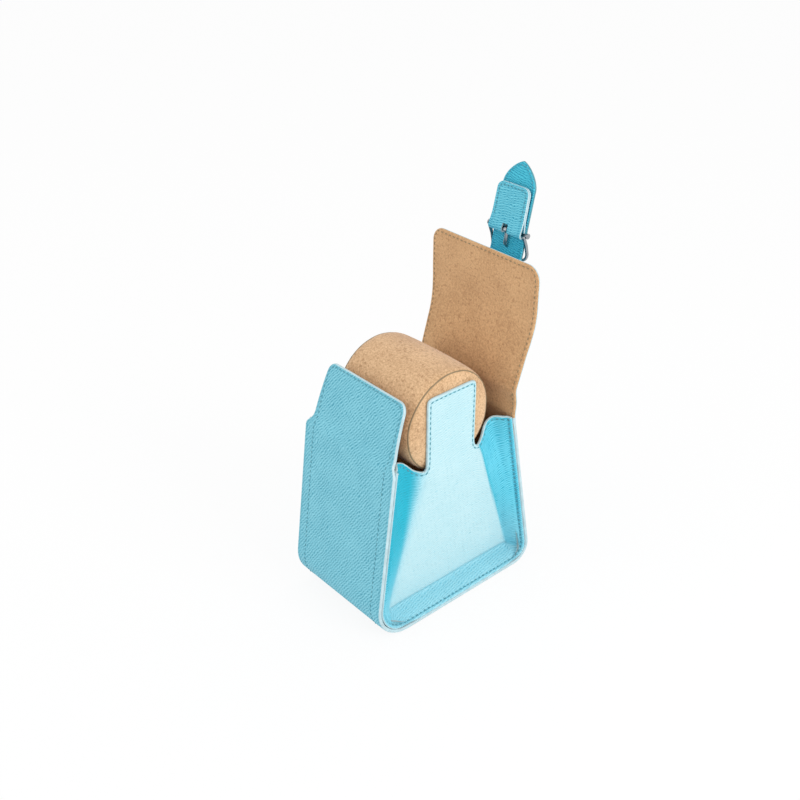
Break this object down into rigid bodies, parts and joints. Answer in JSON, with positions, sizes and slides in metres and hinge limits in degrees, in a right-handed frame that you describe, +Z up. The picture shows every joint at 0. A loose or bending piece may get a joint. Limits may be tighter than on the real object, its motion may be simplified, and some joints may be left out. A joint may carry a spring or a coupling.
{
  "type": "watch roll",
  "caption": "Upright leather watch roll with bellows gussets, a removable round cushion, a long folding flap and a strap with a pin buckle, shown open.",
  "frame": {"origin": "centre of the flat base on the floor", "axes": "+Z up, -Y towards the front panel with the tongue, +X along the cushion's axis towards the right gusset"},
  "size_m": [0.0786, 0.135, 0.2311],
  "materials": {
    "leather_turquoise": "satin",
    "leather_gusset": "satin",
    "suede_tan": "matte",
    "steel": "polished",
    "foam": "matte"
  },
  "bodies": {
    "case": {"shell_leather": "leather_turquoise", "shell_lining": "suede_tan", "gusset_right_leather": "leather_gusset", "gusset_left_leather": "leather_gusset", "gusset_right_lining": "suede_tan", "gusset_left_lining": "suede_tan"},
    "cushion": {"cushion_cover": "suede_tan", "cushion_end_right": "suede_tan", "cushion_end_left": "suede_tan", "cushion_core": "foam"},
    "flap_low": {"flap_low_leather": "leather_turquoise", "flap_low_lining": "suede_tan"},
    "flap_mid": {"flap_mid_leather": "leather_turquoise", "flap_mid_lining": "suede_tan"},
    "flap_top": {"flap_top_leather": "leather_turquoise", "flap_top_lining": "suede_tan", "strap_foot": "leather_turquoise"},
    "strap": {"strap_leather": "leather_turquoise", "strap_lining": "leather_turquoise", "buckle_frame": "steel", "buckle_bar": "steel"},
    "prong": {"buckle_prong": "steel"},
    "tab": {"buckle_tab": "leather_turquoise", "strap_end_leather": "leather_turquoise", "strap_end_lining": "leather_turquoise"}
  },
  "joints": [
    {"name": "flap_root", "type": "hinge", "parent": "case", "child": "flap_low", "pos_m": [0, 0.03775, 0.10736], "axis": [1, 0, 0], "range_deg": [0, 32]},
    {"name": "flap_fold_low", "type": "hinge", "parent": "flap_low", "child": "flap_mid", "pos_m": [0, 0.0403, 0.12793], "axis": [1, 0, 0], "range_deg": [0, 22]},
    {"name": "flap_fold_high", "type": "hinge", "parent": "flap_mid", "child": "flap_top", "pos_m": [0, 0.04804, 0.15634], "axis": [1, 0, 0], "range_deg": [0, 40]},
    {"name": "strap_bend", "type": "hinge", "parent": "flap_top", "child": "strap", "pos_m": [0, 0.05103, 0.165], "axis": [1, 0, 0], "range_deg": [0, 26]},
    {"name": "buckle_pivot", "type": "hinge", "parent": "strap", "child": "tab", "pos_m": [0, 0.06524, 0.19587], "axis": [1, 0, 0], "range_deg": [0, 48]},
    {"name": "prong_pivot", "type": "hinge", "parent": "strap", "child": "prong", "pos_m": [0, 0.06524, 0.19587], "axis": [1, 0, 0], "range_deg": [0, 2]},
    {"name": "cushion_lift", "type": "slide", "parent": "case", "child": "cushion", "axis": [0, 0.1219, 0.9925], "range_m": [0, 0.14]}
  ],
  "couplings": [
    {"joint": "flap_fold_low", "follows": "flap_root", "ratio": 0.6875},
    {"joint": "flap_fold_high", "follows": "flap_root", "ratio": 1.25},
    {"joint": "strap_bend", "follows": "flap_root", "ratio": 0.8125}
  ]
}
